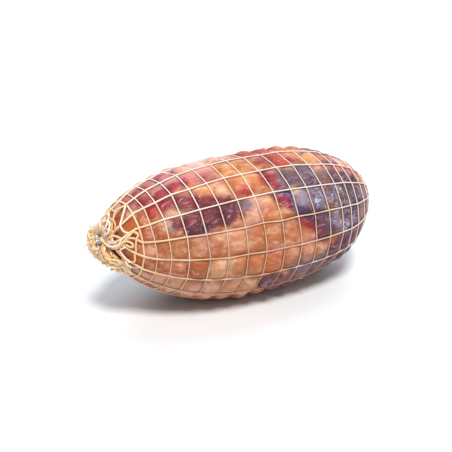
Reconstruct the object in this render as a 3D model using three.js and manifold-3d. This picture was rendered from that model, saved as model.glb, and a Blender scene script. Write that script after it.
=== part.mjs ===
// A boneless cured ham, rolled and pressed in a tied elastic net, lying on its side.
// Millimetres, +Z up. The ham runs along X, from its tied end (-X) to its blunt end (+X),
// and the side that shows faces -Y. The group's origin is under the middle, on the surface.
import * as THREE from 'three';
import { mergeVertices } from 'three/addons/utils/BufferGeometryUtils.js';
import Module from 'manifold-3d';

const wasm = await Module();
wasm.setup();

// The ham's smooth outline, measured to the net that is drawn tight round it.
const LENGTH = 330;
const HALF_HEIGHT = 75;
const WIDTH_TO_HEIGHT = 1.083;
const TIED_END = { side: -1, power: 2.64, root: 2.0, dimple: 4 };
const BLUNT_END = { side: 1, power: 2.95, root: 1.69, dimple: 7 };
const DIMPLE_RADIUS = 15;
const SWELL_TO_BLUNT_END = 0.038;
const SWELL_AT_MIDDLE = 0.103;
const AXIS_TILT = -4;
const AXIS_SAG = 11.2;
const BELLY = 2.8;
const HEEL = { bulge: 3.4, at: 0.64, reach: 0.11, angle: -55, fullRadius: 25 };

// The ham rests on a pressed foot, where the net keeps just clear of the surface.
const AXIS_HEIGHT = 72;
const FOOT_LEVEL = 1.5;
const FOOT_BLEND = 2;

// The net: cords along the ham cross rings at these steps along the skin, from the tied pole.
const CORDS_ALONG = 16;
const TOP_CORD_ANGLE = 90;
const CORD_TWIST = -9;
const COLLAR_REACH = 9;
const RING_STEPS = [
  25, 13, 12.5, 14, 18, 20, 21, 21, 21, 22, 21.5, 20, 20, 20, 15, 15, 17.5, 17, 16,
];
const CORD_DEPTH = 2.2;
const CORD_WIDTH = 2.6;
const RING_WIDTH = 2.2;
const WIDEST_CORD_SHARE = 0.72;

// The meat bulges through every mesh and is drawn in under every cord.
const GROOVE_DEPTH = 1.7;
const BULGE = 1.9;
const FULL_MESH = 26;
const TIGHT_MESH = 5;
const PARTS_AROUND = 3;
const LONG_STEP = 16;

// Each end of the net is drawn into a neck, crimped in a metal clip, with its cut ends spread
// beyond. Places along X are measured from the middle of the ham.
const CLIP_LENGTH = 6;
const CLIP_WIDTH = 8.4;
const CLIP_HEIGHT = 7;
const CLIP_CORNER = 2.2;
const CLIP_HOLE_RADIUS = 3;
const NECK_RADIUS = 2.2;
const NECK_FOOT_RADIUS = 4.2;
const NECK_KNOT_RADIUS = 3.3;
const GAP = 0.3;
const TIED_GATHER = { clip: 168.5, tip: 180, loops: 10, cutEnds: 9, flares: [17, 13, 19, 15], curl: 4.5 };
const BLUNT_GATHER = { clip: 162, tip: 171.5, loops: 4, cutEnds: 6, flares: [8, 10, 7, 9], curl: 0.5 };
const LOOP_REACHES = [24, 17, 29, 20, 26];
const LOOP_SPREADS = [1.1, 1.5, 0.8, 1.3];
const LOOP_LIFTS = [4.6, 6.4, 3.4];
const LOOP_STEPS = 8;
const CUT_END_STEPS = 3;
const THREAD_WIDTH = 1.1;
const THREAD_END = { x: -196, y: -5, drop: 5, arch: 2 };

const HALF_LENGTH = LENGTH / 2;
const TABLE_STEPS = 3000;
const radians = THREE.MathUtils.degToRad;
const cordSpacing = 360 / CORDS_ALONG;

// ---- The smooth skin

function axisHeight(x) {
  const s = x / HALF_LENGTH;
  return AXIS_HEIGHT + AXIS_TILT * s + AXIS_SAG * s * s;
}

function halfHeight(s) {
  const end = s < 0 ? TIED_END : BLUNT_END;
  const rounding = Math.max(0, 1 - Math.abs(s) ** end.power) ** (1 / end.root);
  return HALF_HEIGHT * rounding * (1 + SWELL_TO_BLUNT_END * s - SWELL_AT_MIDDLE * s * s);
}

// The outline from pole to pole as a table of arc length, place along the axis and half height.
function outlineTable() {
  const rows = [];
  let arc = 0;
  for (let k = 0; k <= TABLE_STEPS; k += 1) {
    const s = -Math.cos((Math.PI * k) / TABLE_STEPS);
    const r = halfHeight(s);
    const end = s < 0 ? TIED_END : BLUNT_END;
    const x = s * HALF_LENGTH - Math.sign(s) * end.dimple * Math.exp(-((r / DIMPLE_RADIUS) ** 2));
    const last = rows[k - 1];
    if (last) arc += Math.hypot(x - last.x, r - last.r);
    rows.push({ arc, x, r });
  }
  return rows;
}

const outline = outlineTable();
const fullArc = outline[TABLE_STEPS].arc;

function outlineAt(arc) {
  let low = 0;
  let high = TABLE_STEPS;
  while (high - low > 1) {
    const middle = (low + high) >> 1;
    if (outline[middle].arc > arc) high = middle;
    else low = middle;
  }
  const a = outline[low];
  const b = outline[high];
  const share = THREE.MathUtils.clamp((arc - a.arc) / (b.arc - a.arc), 0, 1);
  const run = Math.hypot(b.x - a.x, b.r - a.r);
  return {
    x: THREE.MathUtils.lerp(a.x, b.x, share),
    r: THREE.MathUtils.lerp(a.r, b.r, share),
    outX: (a.r - b.r) / run,
    outR: (b.x - a.x) / run,
  };
}

function softMax(a, b, blend) {
  const overlap = Math.max(blend - Math.abs(a - b), 0) / blend;
  return Math.max(a, b) + (overlap * overlap * blend) / 4;
}

// The extra fullness low on the blunt end, on the side that shows.
function heelBulge(s, angle) {
  const along = Math.exp(-(((s - HEEL.at) / HEEL.reach) ** 2));
  const around = Math.max(0, Math.cos(angle - radians(HEEL.angle))) ** 2;
  return HEEL.bulge * along * around;
}

// A point at an arc length and cord number, raised by lift from the smooth skin.
function skinPoint(arc, cord, lift) {
  const at = outlineAt(arc);
  const x = at.x + lift * at.outX;
  const plainRadius = Math.max(0, at.r + lift * at.outR);
  const s = at.x / HALF_LENGTH;
  const angle = radians(TOP_CORD_ANGLE - cord * cordSpacing + CORD_TWIST * s * s);
  const r = plainRadius + heelBulge(s, angle) * Math.min(1, plainRadius / HEEL.fullRadius);
  const y = -WIDTH_TO_HEIGHT * r * Math.cos(angle);
  const underside = Math.max(0, -Math.sin(angle)) ** 2;
  const z = axisHeight(at.x) + r * Math.sin(angle) + BELLY * underside * Math.sin(Math.PI * s);
  return new THREE.Vector3(x, y, Math.max(0, softMax(z, FOOT_LEVEL - lift, FOOT_BLEND)));
}

// ---- Where the rings lie

function ringArcs() {
  const arcs = [COLLAR_REACH];
  RING_STEPS.forEach((step) => arcs.push(arcs.at(-1) + step));
  arcs.push(fullArc - COLLAR_REACH);
  return arcs;
}

const rings = ringArcs();

function meshWidth(arc) {
  return (2 * Math.PI * outlineAt(arc).r) / CORDS_ALONG;
}

// ---- Meshes from points

function solidGeometry(points, faces) {
  const geometry = new THREE.BufferGeometry();
  const position = points.flatMap((p) => [p.x, p.y, p.z]);
  geometry.setAttribute('position', new THREE.Float32BufferAttribute(position, 3));
  geometry.setIndex(faces.flat());
  return geometry;
}

function quad(faces, a, b, c, d) {
  faces.push([a, b, c], [a, c, d]);
}

// ---- The meat: grooves along the net's straight cords, a bulge in every mesh

function grooveCrossing(ring, cord) {
  return skinPoint(rings[ring], cord, -GROOVE_DEPTH);
}

function meatPoint(ring, share, column) {
  const cord = Math.floor(column / PARTS_AROUND);
  const across = (column % PARTS_AROUND) / PARTS_AROUND;
  const point = grooveCrossing(ring, cord).lerp(grooveCrossing(ring, cord + 1), across);
  if (share === 0) return point;
  point.lerp(grooveCrossing(ring + 1, cord).lerp(grooveCrossing(ring + 1, cord + 1), across), share);
  if (across === 0) return point;
  const arc = THREE.MathUtils.lerp(rings[ring], rings[ring + 1], share);
  const fullness = (meshWidth(arc) - TIGHT_MESH) / (FULL_MESH - TIGHT_MESH);
  return point.lerp(skinPoint(arc, cord + across, BULGE), THREE.MathUtils.clamp(fullness, 0, 1));
}

function hamGeometry() {
  const columns = CORDS_ALONG * PARTS_AROUND;
  const points = [];
  const faces = [];
  let rows = 0;
  const addRow = (ring, share) => {
    for (let c = 0; c < columns; c += 1) points.push(meatPoint(ring, share, c));
    rows += 1;
  };
  rings.slice(1).forEach((arc, ring) => {
    const parts = arc - rings[ring] < LONG_STEP ? 2 : 3;
    for (let k = 0; k < parts; k += 1) addRow(ring, k / parts);
  });
  addRow(rings.length - 1, 0);
  for (let row = 1; row < rows; row += 1) {
    for (let c = 0; c < columns; c += 1) {
      const next = (c + 1) % columns;
      const below = (row - 1) * columns;
      quad(faces, below + c, below + next, below + columns + next, below + columns + c);
    }
  }
  const tied = points.push(skinPoint(0, 0, -GROOVE_DEPTH)) - 1;
  const blunt = points.push(skinPoint(fullArc, 0, -GROOVE_DEPTH)) - 1;
  const lastRow = (rows - 1) * columns;
  for (let c = 0; c < columns; c += 1) {
    const next = (c + 1) % columns;
    faces.push([tied, next, c], [blunt, lastRow + c, lastRow + next]);
  }
  return solidGeometry(points, faces);
}

// ---- The net: ridged cords round one open mesh after another, closed over at both poles

function meshCorner(ring, cord, endward, sideways) {
  const corner = (r, c) => skinPoint(rings[r], c, 0);
  const near = corner(ring, cord).lerp(corner(ring, cord + 1), sideways);
  const far = corner(ring + 1, cord).lerp(corner(ring + 1, cord + 1), sideways);
  return near.lerp(far, endward);
}

// The share of a mesh that half a cord takes from each of its sides.
function halfCordShare(cordWidth, meshSize) {
  return Math.min(cordWidth / meshSize, WIDEST_CORD_SHARE) / 2;
}

// The corners of one open mesh, level with the skin, on the inner edges of its four cords.
function openMesh(ring, cord) {
  const along = halfCordShare(RING_WIDTH, rings[ring + 1] - rings[ring]);
  const near = halfCordShare(CORD_WIDTH, meshWidth(rings[ring]));
  const far = halfCordShare(CORD_WIDTH, meshWidth(rings[ring + 1]));
  return [
    meshCorner(ring, cord, along, near),
    meshCorner(ring, cord, along, 1 - near),
    meshCorner(ring, cord, 1 - along, 1 - far),
    meshCorner(ring, cord, 1 - along, far),
  ];
}

function netSheetGeometry() {
  const points = [];
  const faces = [];
  const add = (point) => points.push(point) - 1;
  const ridgeEnds = (arc, cord) => ({
    top: add(skinPoint(arc, cord, CORD_DEPTH / 2)),
    under: add(skinPoint(arc, cord, -CORD_DEPTH / 2)),
  });
  const cords = [...Array(CORDS_ALONG).keys()];
  const crossings = rings.map((arc) => cords.map((cord) => ridgeEnds(arc, cord)));
  for (let ring = 0; ring + 1 < rings.length; ring += 1) {
    cords.forEach((cord) => {
      const next = (cord + 1) % CORDS_ALONG;
      const [here, there] = [crossings[ring], crossings[ring + 1]];
      const frame = [here[cord], here[next], there[next], there[cord]];
      const hole = openMesh(ring, cord).map(add);
      frame.forEach((corner, side) => {
        const turn = (side + 1) % frame.length;
        quad(faces, corner.top, frame[turn].top, hole[turn], hole[side]);
        quad(faces, hole[side], hole[turn], frame[turn].under, corner.under);
      });
    });
  }
  const closePole = (row, arc, outward) => {
    const pole = ridgeEnds(arc, 0);
    row.forEach((crossing, cord) => {
      const next = row[(cord + 1) % CORDS_ALONG];
      const [a, b] = outward ? [crossing, next] : [next, crossing];
      faces.push([pole.top, a.top, b.top], [pole.under, b.under, a.under]);
    });
  };
  closePole(crossings[0], 0, false);
  closePole(crossings.at(-1), fullArc, true);
  return solidGeometry(points, faces);
}

// ---- The gathered ends: neck, loops of slack net, cut ends and a loose thread

function closedMesh(geometry) {
  const plain = geometry.clone();
  plain.deleteAttribute('normal');
  plain.deleteAttribute('uv');
  return mergeVertices(plain, 1e-4);
}

function toSolid(geometry) {
  const plain = closedMesh(geometry);
  const mesh = new wasm.Mesh({
    numProp: 3,
    vertProperties: new Float32Array(plain.attributes.position.array),
    triVerts: new Uint32Array(plain.index.array),
  });
  return new wasm.Manifold(mesh);
}

function fromSolid(solid) {
  const mesh = solid.getMesh();
  const geometry = new THREE.BufferGeometry();
  geometry.setAttribute('position', new THREE.BufferAttribute(new Float32Array(mesh.vertProperties), 3));
  geometry.setIndex(new THREE.BufferAttribute(new Uint32Array(mesh.triVerts), 1));
  return geometry;
}

// The outer shell alone, so that no hollow stays sealed between crossing cords.
function filled(solid) {
  return solid.decompose().reduce((best, shell) => (shell.volume() > best.volume() ? shell : best));
}

function sectionShape(width) {
  const corner = (degrees) => {
    const angle = radians(degrees);
    return new THREE.Vector2(Math.cos(angle), Math.sin(angle)).multiplyScalar(width / 2);
  };
  return new THREE.Shape([corner(0), corner(120), corner(240)]);
}

function cordSolid(points, width, steps) {
  const extrudePath = new THREE.CatmullRomCurve3(points, false, 'centripetal');
  const options = { steps, extrudePath, bevelEnabled: false };
  return toSolid(new THREE.ExtrudeGeometry(sectionShape(width), options));
}

// A point by an end's neck: how far out along X, at what radius, and round which way.
function neckPoint(side, out, radius, degrees) {
  const angle = radians(degrees);
  const height = axisHeight(side * HALF_LENGTH) + radius * Math.sin(angle);
  return new THREE.Vector3(side * out, radius * Math.cos(angle), height);
}

function neckSolid(end, gather) {
  const foot = HALF_LENGTH - end.dimple;
  const clipEnd = gather.clip + CLIP_LENGTH;
  const profile = [
    [0, foot],
    [NECK_FOOT_RADIUS, foot],
    [NECK_KNOT_RADIUS, gather.clip - 1],
    [NECK_RADIUS, gather.clip],
    [NECK_RADIUS, clipEnd],
    [NECK_KNOT_RADIUS, gather.tip - 2],
    [NECK_RADIUS, gather.tip],
    [0, gather.tip],
  ];
  const lathe = new THREE.LatheGeometry(profile.map(([r, out]) => new THREE.Vector2(r, out)), 10);
  lathe.rotateZ((-end.side * Math.PI) / 2);
  lathe.translate(0, 0, axisHeight(end.side * HALF_LENGTH));
  return toSolid(lathe);
}

// A slack loop of net lying over the gathered end: out from the neck and back to it.
function slackLoop(side, turn, k) {
  const reach = LOOP_REACHES[k % LOOP_REACHES.length];
  const spread = LOOP_SPREADS[k % LOOP_SPREADS.length];
  const lift = LOOP_LIFTS[k % LOOP_LIFTS.length];
  const at = (arc, sideways, up) => {
    const cord = turn * CORDS_ALONG + sideways * spread;
    return skinPoint(side < 0 ? arc : fullArc - arc, cord, up);
  };
  const start = COLLAR_REACH / 3;
  const narrow = COLLAR_REACH + 2;
  const wide = reach * 0.7;
  return [
    at(start, 0, 0.5),
    at(narrow, -0.5, lift),
    at(wide, -0.9, lift),
    at(reach, 0, lift * 0.7),
    at(wide, 0.9, lift * 1.1),
    at(narrow, 0.6, lift),
    at(start, 0.3, 0.5),
  ];
}

// A cut end of the net beyond the clip: it flares out and curls back towards the ham.
function cutEnd(side, gather, degrees, k) {
  const flare = gather.flares[k % gather.flares.length];
  const tip = gather.tip;
  return [
    neckPoint(side, tip - 2.5, 0.8, degrees),
    neckPoint(side, tip, flare * 0.45, degrees - 14),
    neckPoint(side, tip - 1, flare * 0.85, degrees + 4),
    neckPoint(side, tip - 1 - gather.curl, flare, degrees + 20),
  ];
}

function gatherSolids(end, gather) {
  const solids = [neckSolid(end, gather)];
  for (let k = 0; k < gather.loops; k += 1) {
    solids.push(cordSolid(slackLoop(end.side, (k + 0.3) / gather.loops, k), CORD_WIDTH, LOOP_STEPS));
  }
  for (let k = 0; k < gather.cutEnds; k += 1) {
    const degrees = (360 * k) / gather.cutEnds;
    solids.push(cordSolid(cutEnd(end.side, gather, degrees, k), CORD_WIDTH, CUT_END_STEPS));
  }
  return solids;
}

function threadSolid() {
  const start = neckPoint(-1, TIED_GATHER.tip - 3, 0, 0);
  const end = new THREE.Vector3(THREAD_END.x, THREAD_END.y, start.z - THREAD_END.drop);
  const middle = start.clone().lerp(end, 0.5);
  middle.z += THREAD_END.arch;
  return cordSolid([start, middle, end], THREAD_WIDTH, 5);
}

function netGeometry() {
  const pieces = [
    ...gatherSolids(TIED_END, TIED_GATHER),
    ...gatherSolids(BLUNT_END, BLUNT_GATHER),
    threadSolid(),
  ];
  const joined = pieces.reduce((net, piece) => net.add(piece), toSolid(netSheetGeometry()));
  return fromSolid(filled(joined));
}

// ---- The crimped clips: a rounded band round each neck

function clipGeometry() {
  const band = new THREE.Shape();
  const w = CLIP_WIDTH / 2 - CLIP_CORNER;
  const h = CLIP_HEIGHT / 2 - CLIP_CORNER;
  const corners = [[w, -h], [w, h], [-w, h], [-w, -h]];
  corners.forEach(([y, z], k) => {
    band.absarc(y, z, CLIP_CORNER, ((k - 1) * Math.PI) / 2, (k * Math.PI) / 2);
  });
  band.closePath();
  const hole = new THREE.Path();
  hole.absarc(0, 0, CLIP_HOLE_RADIUS, 0, 2 * Math.PI, true);
  band.holes.push(hole);
  const depth = CLIP_LENGTH - 2 * GAP;
  const geometry = new THREE.ExtrudeGeometry(band, { depth, bevelEnabled: false, curveSegments: 3 });
  geometry.translate(0, 0, -depth / 2);
  geometry.rotateX(Math.PI / 2);
  geometry.rotateZ(Math.PI / 2);
  return closedMesh(geometry);
}

function clipMesh(name, end, gather) {
  const mesh = new THREE.Mesh(clipGeometry(), clipMetal);
  mesh.name = name;
  const middle = end.side * (gather.clip + CLIP_LENGTH / 2);
  mesh.position.set(middle, 0, axisHeight(end.side * HALF_LENGTH));
  return mesh;
}

// ---- The part

const meat = new THREE.MeshStandardMaterial({ color: 0xc4704f, roughness: 0.5, metalness: 0 });
const yarn = new THREE.MeshStandardMaterial({ color: 0xe6d2b0, roughness: 0.85, metalness: 0 });
const clipMetal = new THREE.MeshStandardMaterial({ color: 0xb9bfc8, roughness: 0.3, metalness: 1 });

const ham = new THREE.Mesh(hamGeometry(), meat);
ham.name = 'ham';
const net = new THREE.Mesh(netGeometry(), yarn);
net.name = 'net';

const part = new THREE.Group();
part.add(ham, net);
part.add(clipMesh('clip', TIED_END, TIED_GATHER), clipMesh('clip_far', BLUNT_END, BLUNT_GATHER));

const bounds = new THREE.Box3().setFromObject(part);
const centre = bounds.getCenter(new THREE.Vector3());
part.position.set(-centre.x, -centre.y, -bounds.min.z);

export default part;
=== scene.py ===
"""A boneless cured ham, rolled and pressed in a tied elastic net, lying on its side.

Metres, +Z up. The ham runs along X, from its tied end to its blunt end, and the side that shows
faces -Y. A place on the skin is given by a ring number and a cord number, as the net lies: ring 0
is next to the tied pole and ring 20 next to the blunt one. Cord 0 runs along the top, and the
numbers go down the side that shows, along the underside and up the back.
"""
import itertools
import math

import bpy
import numpy as np
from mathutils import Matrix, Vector


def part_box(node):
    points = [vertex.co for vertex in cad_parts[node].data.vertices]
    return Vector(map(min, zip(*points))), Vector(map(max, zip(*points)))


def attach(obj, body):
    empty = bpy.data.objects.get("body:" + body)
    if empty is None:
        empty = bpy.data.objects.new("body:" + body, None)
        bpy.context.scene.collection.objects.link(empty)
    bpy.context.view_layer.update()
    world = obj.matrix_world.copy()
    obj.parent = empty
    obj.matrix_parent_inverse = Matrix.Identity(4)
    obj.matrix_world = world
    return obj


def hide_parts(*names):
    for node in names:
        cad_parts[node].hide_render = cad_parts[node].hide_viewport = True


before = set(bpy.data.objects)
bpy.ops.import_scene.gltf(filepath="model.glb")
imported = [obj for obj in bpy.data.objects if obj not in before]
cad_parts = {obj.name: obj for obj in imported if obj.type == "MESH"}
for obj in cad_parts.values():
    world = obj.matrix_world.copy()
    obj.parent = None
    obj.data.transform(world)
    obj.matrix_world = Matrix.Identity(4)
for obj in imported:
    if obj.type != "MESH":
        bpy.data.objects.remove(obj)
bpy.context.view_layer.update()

MM = 0.001
TINY = 1e-9

# ---- Driving dimensions of the smooth skin, measured to the net that is drawn tight round it.
# The powers and roots say how full each end is before it rounds off to its dimpled pole.

LENGTH = 330 * MM
HALF_HEIGHT = 75 * MM
WIDTH_TO_HEIGHT = 1.083
TIED_END = {"power": 2.64, "root": 2, "dimple": 4 * MM}
BLUNT_END = {"power": 2.95, "root": 1.69, "dimple": 7 * MM}
DIMPLE_RADIUS = 15 * MM
SWELL_TO_BLUNT_END = 0.038
SWELL_AT_MIDDLE = 0.103
AXIS_TILT = -4 * MM
AXIS_SAG = 11.2 * MM
AXIS_HEIGHT = 72 * MM
BELLY = 2.8 * MM
FOOT_LEVEL = 1.5 * MM
FOOT_BLEND = 2 * MM
HEEL = {"bulge": 3.4 * MM, "at": 0.64, "reach": 0.11, "angle": -55, "full_radius": 25 * MM}

CORDS_ALONG = 16
CORD_ANGLE = 360 / CORDS_ALONG
TOP_CORD_ANGLE = 90
CORD_TWIST = -9
COLLAR_REACH = 9 * MM
RING_STEPS = [25, 13, 12.5, 14, 18, 20, 21, 21, 21, 22, 21.5, 20, 20, 20, 15, 15, 17.5, 17, 16]

CLIP_FROM_MIDDLE = 171.5 * MM
HALF_LENGTH = LENGTH / 2
AXIS_REACH = 0.8 * HALF_LENGTH

clip_middle = np.mean([list(corner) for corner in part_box("clip")], axis=0)
ORIGIN = np.array([clip_middle[0] + CLIP_FROM_MIDDLE, clip_middle[1], 0])

# ---- The meat's relief and the cords' sizes

GROOVE_DEPTH = 1.5 * MM
BULGE = 3 * MM
BULGE_SPREAD = 0.35
GROOVE_REACH = 4.6 * MM
FULL_MESH = 26 * MM
TIGHT_MESH = 5 * MM
UNDULATION = 0.8 * MM
RIPPLE = 0.28 * MM
STATION_STEP = 1.6 * MM
COLUMNS_PER_CORD = 24

CORD_SINK = -0.3 * MM
RING_SINK = CORD_SINK - 0.2 * MM
CORD_SIZE = (1.0 * MM, 0.9 * MM)
STRETCHED_GIRTH = 0.7
STRETCHED_FROM_TO = (-0.85 * HALF_LENGTH, -0.35 * HALF_LENGTH)
RING_SIZE = (0.6 * MM, 0.58 * MM)
FIRST_TIGHT_RING = 2
FIRST_RING_SIZE = (0.95 * MM, 0.8 * MM)
WHITE_RINGS = (4, 5, 6)
CORD_TINT = "f1dccb"
RING_TINT, WHITE_RING_TINT, FIRST_RING_TINT = "ecd6c4", "fbefe8", "f8dca8"
RING_KNIT = 0.8
KNIT_PITCH = 2.6 * MM
CORD_STEP = 0.65 * MM
RING_STEP = 0.85 * MM
CORD_SIDES = 10

rng = np.random.default_rng(7)


# ---- Small numeric helpers

def lerp(a, b, share):
    return a + (b - a) * share


def smoothstep(low, high, value):
    t = np.clip((value - low) / (high - low), 0, 1)
    return t * t * (3 - 2 * t)


HASH_PRIMES = (73856093, 19349663, 83492791)
SEED_PRIME = 2654435761
MIXING_PRIME = 1274126177
SEED_SHIFT = 0.37


def lattice_value(cell, seed):
    """A steady random number from -1 to 1 for each whole-numbered place."""
    x, y, z = (cell[..., k] * HASH_PRIMES[k] for k in range(3))
    mixed = x ^ y ^ z ^ (seed * SEED_PRIME)
    mixed = (mixed ^ (mixed >> 13)) * MIXING_PRIME
    mixed = mixed ^ (mixed >> 16)
    return (mixed & 0xFFFF) / 32767.5 - 1


def noise(points, size, seed):
    """Smooth noise from -1 to 1 with lumps of the given size."""
    place = points / size + SEED_SHIFT * seed
    cell = np.floor(place).astype(np.int64)
    part = place - cell
    part = part * part * (3 - 2 * part)
    total = 0
    for corner in itertools.product((0, 1), repeat=3):
        share = np.prod(np.where(np.array(corner), part, 1 - part), axis=-1)
        total = total + share * lattice_value(cell + np.array(corner), seed)
    return total


def rough_noise(points, size, seed, octaves):
    """Noise with finer and fainter noise added to it, still from -1 to 1."""
    total = sum(noise(points, size / 2**k, seed + k) / 2**k for k in range(octaves))
    return total / sum(0.5**k for k in range(octaves))


def srgb(code):
    """A linear colour from a hexadecimal one as a screen shows it."""
    parts = [int(code[k : k + 2], 16) / 255 for k in (0, 2, 4)]
    return tuple(p / 12.92 if p <= 0.04045 else ((p + 0.055) / 1.055) ** 2.4 for p in parts)


# ---- The smooth skin

def by_end(s, key):
    return np.where(s < 0, TIED_END[key], BLUNT_END[key])


def half_height(s):
    """The skin's half height at a share of the half length, from -1 to 1."""
    rounding = np.maximum(0, 1 - np.abs(s) ** by_end(s, "power")) ** (1 / by_end(s, "root"))
    return HALF_HEIGHT * rounding * (1 + SWELL_TO_BLUNT_END * s - SWELL_AT_MIDDLE * s * s)


def outline_table(steps=3000):
    """The outline from pole to pole: arc length, place along X and half height."""
    s = -np.cos(np.pi * np.arange(steps + 1) / steps)
    r = half_height(s)
    dimple = by_end(s, "dimple") * np.exp(-((r / DIMPLE_RADIUS) ** 2))
    x = s * HALF_LENGTH - np.sign(s) * dimple
    arc = np.concatenate(([0], np.cumsum(np.hypot(np.diff(x), np.diff(r)))))
    return arc, x, r


ARC, OUTLINE_X, OUTLINE_R = outline_table()
FULL_ARC = ARC[-1]
OUTWARD_X = -np.gradient(OUTLINE_R, ARC)
OUTWARD_R = np.gradient(OUTLINE_X, ARC)
RINGS = np.append(COLLAR_REACH + np.cumsum([0, *RING_STEPS]) * MM, FULL_ARC - COLLAR_REACH)
LAST_RING = len(RINGS) - 1


def axis_height(x):
    s = x / HALF_LENGTH
    return AXIS_HEIGHT + AXIS_TILT * s + AXIS_SAG * s * s


def soft_max(a, b, blend):
    overlap = np.maximum(blend - np.abs(a - b), 0) / blend
    return np.maximum(a, b) + overlap * overlap * blend / 4


def heel_bulge(s, angle):
    """The extra fullness low on the blunt end's front."""
    along = np.exp(-(((s - HEEL["at"]) / HEEL["reach"]) ** 2))
    around = np.maximum(0, np.cos(angle - np.radians(HEEL["angle"]))) ** 2
    return HEEL["bulge"] * along * around


def skin_point(arc, cord, lift):
    """Points at arc lengths and cord numbers, raised by lift from the smooth skin."""
    arc, cord, lift = np.broadcast_arrays(arc, cord, lift)
    at = np.interp(arc, ARC, OUTLINE_X)
    x = at + lift * np.interp(arc, ARC, OUTWARD_X)
    r = np.maximum(0, np.interp(arc, ARC, OUTLINE_R) + lift * np.interp(arc, ARC, OUTWARD_R))
    s = at / HALF_LENGTH
    angle = np.radians(TOP_CORD_ANGLE - cord * CORD_ANGLE + CORD_TWIST * s * s)
    r = r + heel_bulge(s, angle) * np.minimum(1, r / HEEL["full_radius"])
    y = -WIDTH_TO_HEIGHT * r * np.cos(angle)
    underside = np.maximum(0, -np.sin(angle)) ** 2
    z = axis_height(at) + r * np.sin(angle) + BELLY * underside * np.sin(np.pi * s)
    z = np.maximum(0, soft_max(z, FOOT_LEVEL - lift, FOOT_BLEND))
    return np.stack([x, y, z], -1) + ORIGIN


def mesh_width(arc):
    return 2 * np.pi * np.interp(arc, ARC, OUTLINE_R) / CORDS_ALONG


def arc_of(ring):
    """The arc length of a ring number, which may lie between two rings."""
    return np.interp(ring, np.arange(len(RINGS)), RINGS)


# ---- Meshes from arrays

def grid_faces(rows, columns, closed=False):
    """Quads of a grid that closes round along each row, and also from last row to first if closed."""
    rows_used = np.arange(rows if closed else rows - 1)
    row, column = np.meshgrid(rows_used, np.arange(columns), indexing="ij")
    after, beside = (row + 1) % rows, (column + 1) % columns
    corners = [(row, column), (row, beside), (after, beside), (after, column)]
    return np.stack([r * columns + c for r, c in corners], -1).reshape(-1, 4).tolist()


def tube_faces(rows, sides, closed=False):
    """Faces of a tube, with a cap on each end unless it is a closed ring."""
    faces = grid_faces(rows, sides, closed)
    if not closed:
        faces.append(list(range(sides))[::-1])
        faces.append([(rows - 1) * sides + c for c in range(sides)])
    return faces


def add_object(name, data):
    obj = bpy.data.objects.new(name, data)
    bpy.context.scene.collection.objects.link(obj)
    return obj


def add_mesh(name, points, faces):
    mesh = bpy.data.meshes.new(name)
    mesh.from_pydata(points.tolist(), [], faces)
    mesh.shade_smooth()
    return add_object(name, mesh)


def store_colors(obj, name, colors):
    """Keeps one colour for each point of the mesh, for its material to read."""
    layer = obj.data.color_attributes.new(name, "FLOAT_COLOR", "POINT")
    rgba = np.ones((len(colors), 4), np.float32)
    rgba[:, :3] = colors
    layer.data.foreach_set("color", rgba.ravel())


def finish_piece(obj, material, node):
    obj.data.materials.append(material)
    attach(obj, "root")
    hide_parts(node)


# ---- The meat's colours: tones laid on patch over patch

# The rim tone is a painted highlight: a pale pink laid along the top edge, where the light falls
# strongest.
TONES = {
    "rind": "a86640", "rust": "a2522c", "burnt": "bc6228", "orange": "bb6c3e",
    "cream": "c69066", "pale": "cc9c86", "rim": "d8bcb4", "yellow": "c98c48", "red": "a43c28",
    "crimson": "90262e", "rose": "b0625c", "plum": "742c30", "wine": "5a2630",
    "violet": "7c5e66", "maroon": "603444", "mauve": "7c5052", "brown": "8a6450",
    "ink": "50304c", "scarlet": "82162a", "indigo": "4e3a6c", "slate": "8c90a4",
}

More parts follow.
